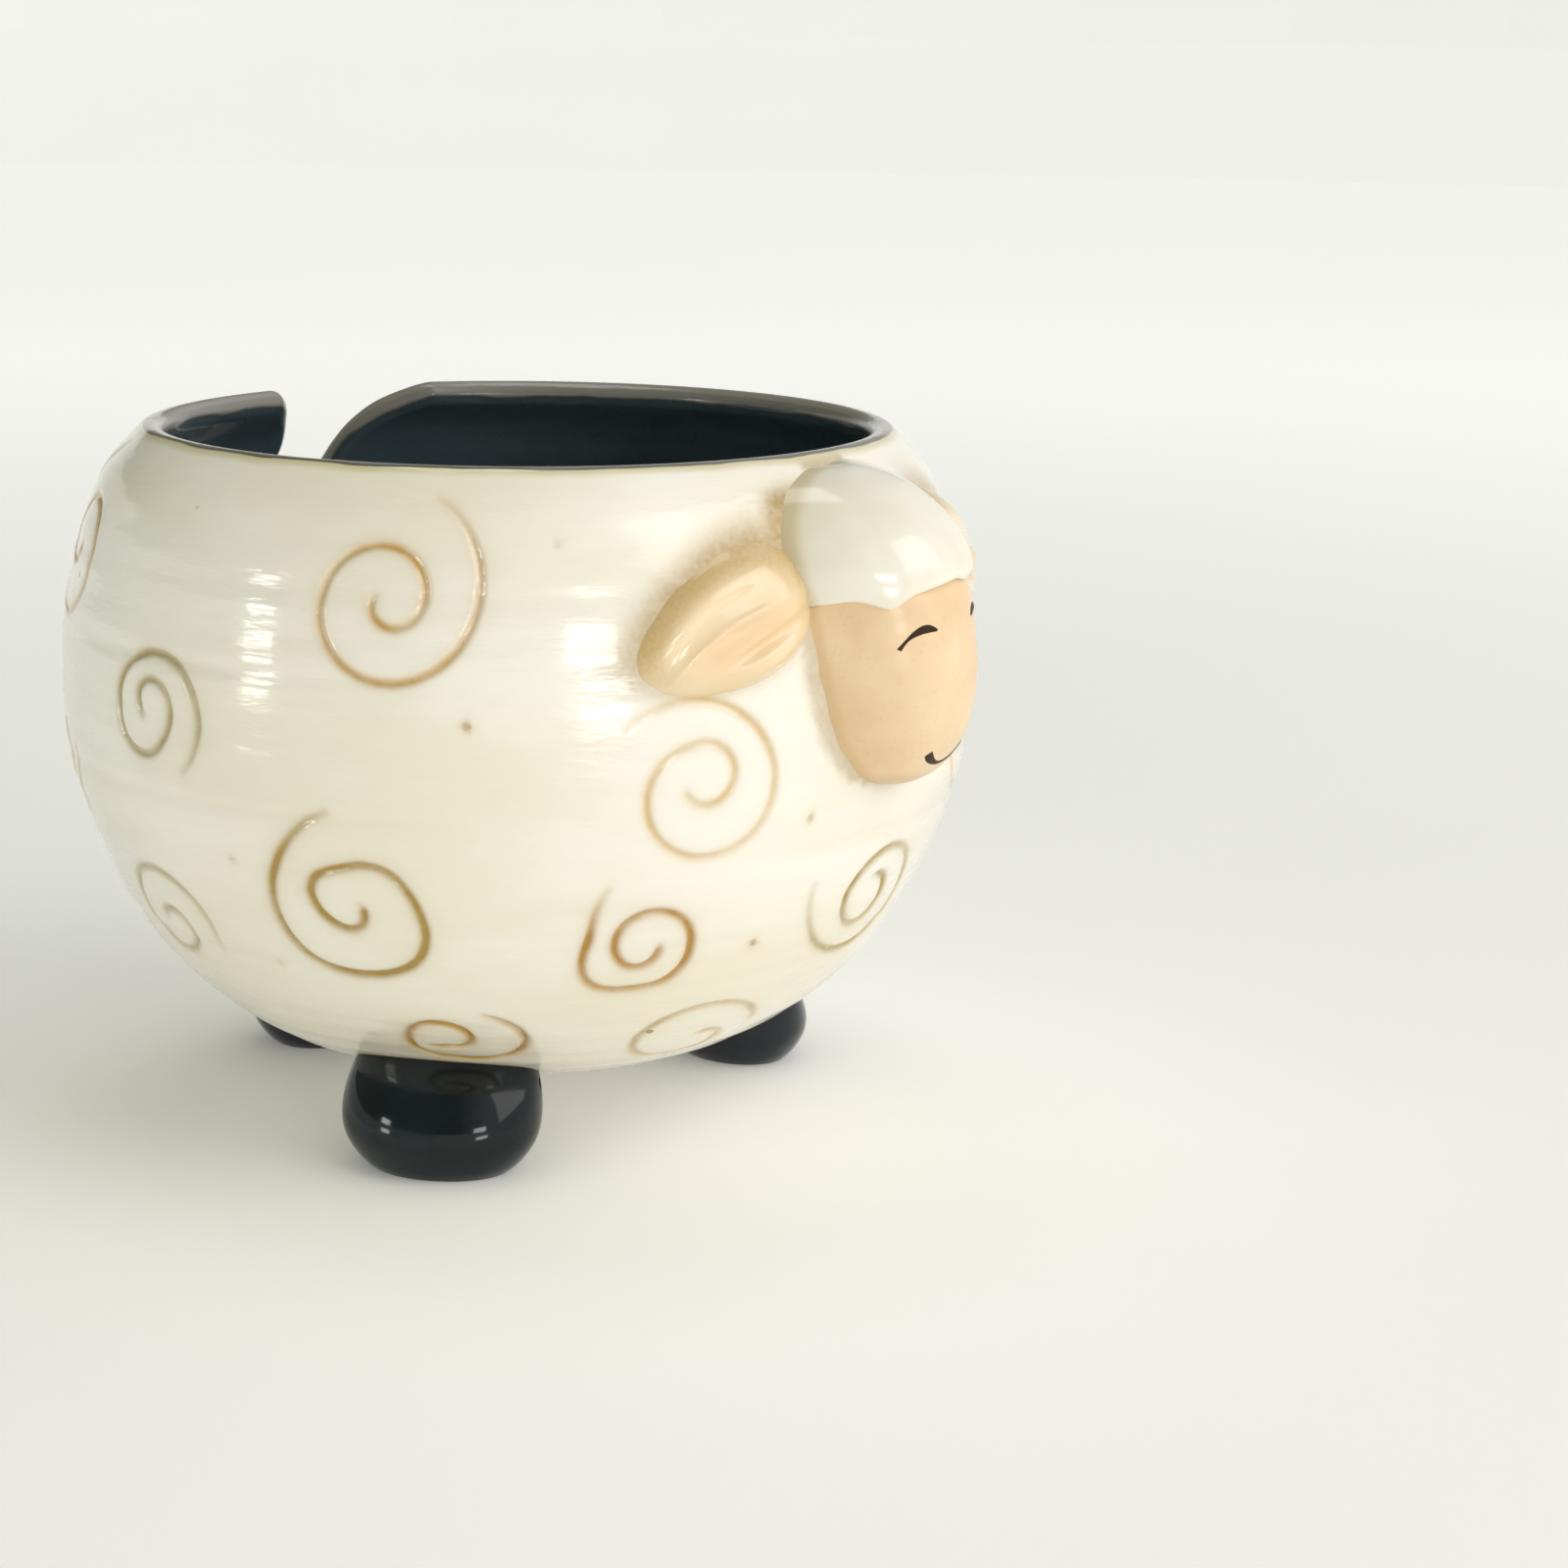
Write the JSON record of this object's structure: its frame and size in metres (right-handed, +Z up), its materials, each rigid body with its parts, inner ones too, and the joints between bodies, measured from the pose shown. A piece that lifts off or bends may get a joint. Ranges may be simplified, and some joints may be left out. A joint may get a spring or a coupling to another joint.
{
  "type": "yarn bowl",
  "caption": "Sheep-shaped glazed earthenware yarn bowl on three black feet, with carved wool curls, a relief head and a hooked slot in its wall for the yarn.",
  "frame": {"origin": "on the floor, under the middle of the whole object's box; the bowl's own axis stands 6.35 mm behind it, at y = +0.00635", "axes": "+Z up; the sheep's head faces -Y and the yarn slot is in the back of the wall, towards +Y; +X is on the right of someone who looks along +Y at the sheep's face"},
  "size_m": [0.1558, 0.1686, 0.1186],
  "materials": {
    "cream_glaze": "glossy",
    "charcoal_glaze": "glossy",
    "black_glaze": "glossy",
    "peach_glaze": "glossy",
    "white_glaze": "glossy",
    "brown_paint": "satin"
  },
  "bodies": {
    "root": {"bowl_body": "cream_glaze", "bowl_liner": "charcoal_glaze", "foot_front_left": "black_glaze", "foot_front_right": "black_glaze", "foot_rear": "black_glaze", "face": "peach_glaze", "wool_cap": "white_glaze", "ear_left": "peach_glaze", "ear_right": "peach_glaze", "eye_left": "brown_paint", "eye_right": "brown_paint", "mouth": "brown_paint"}
  },
  "joints": []
}
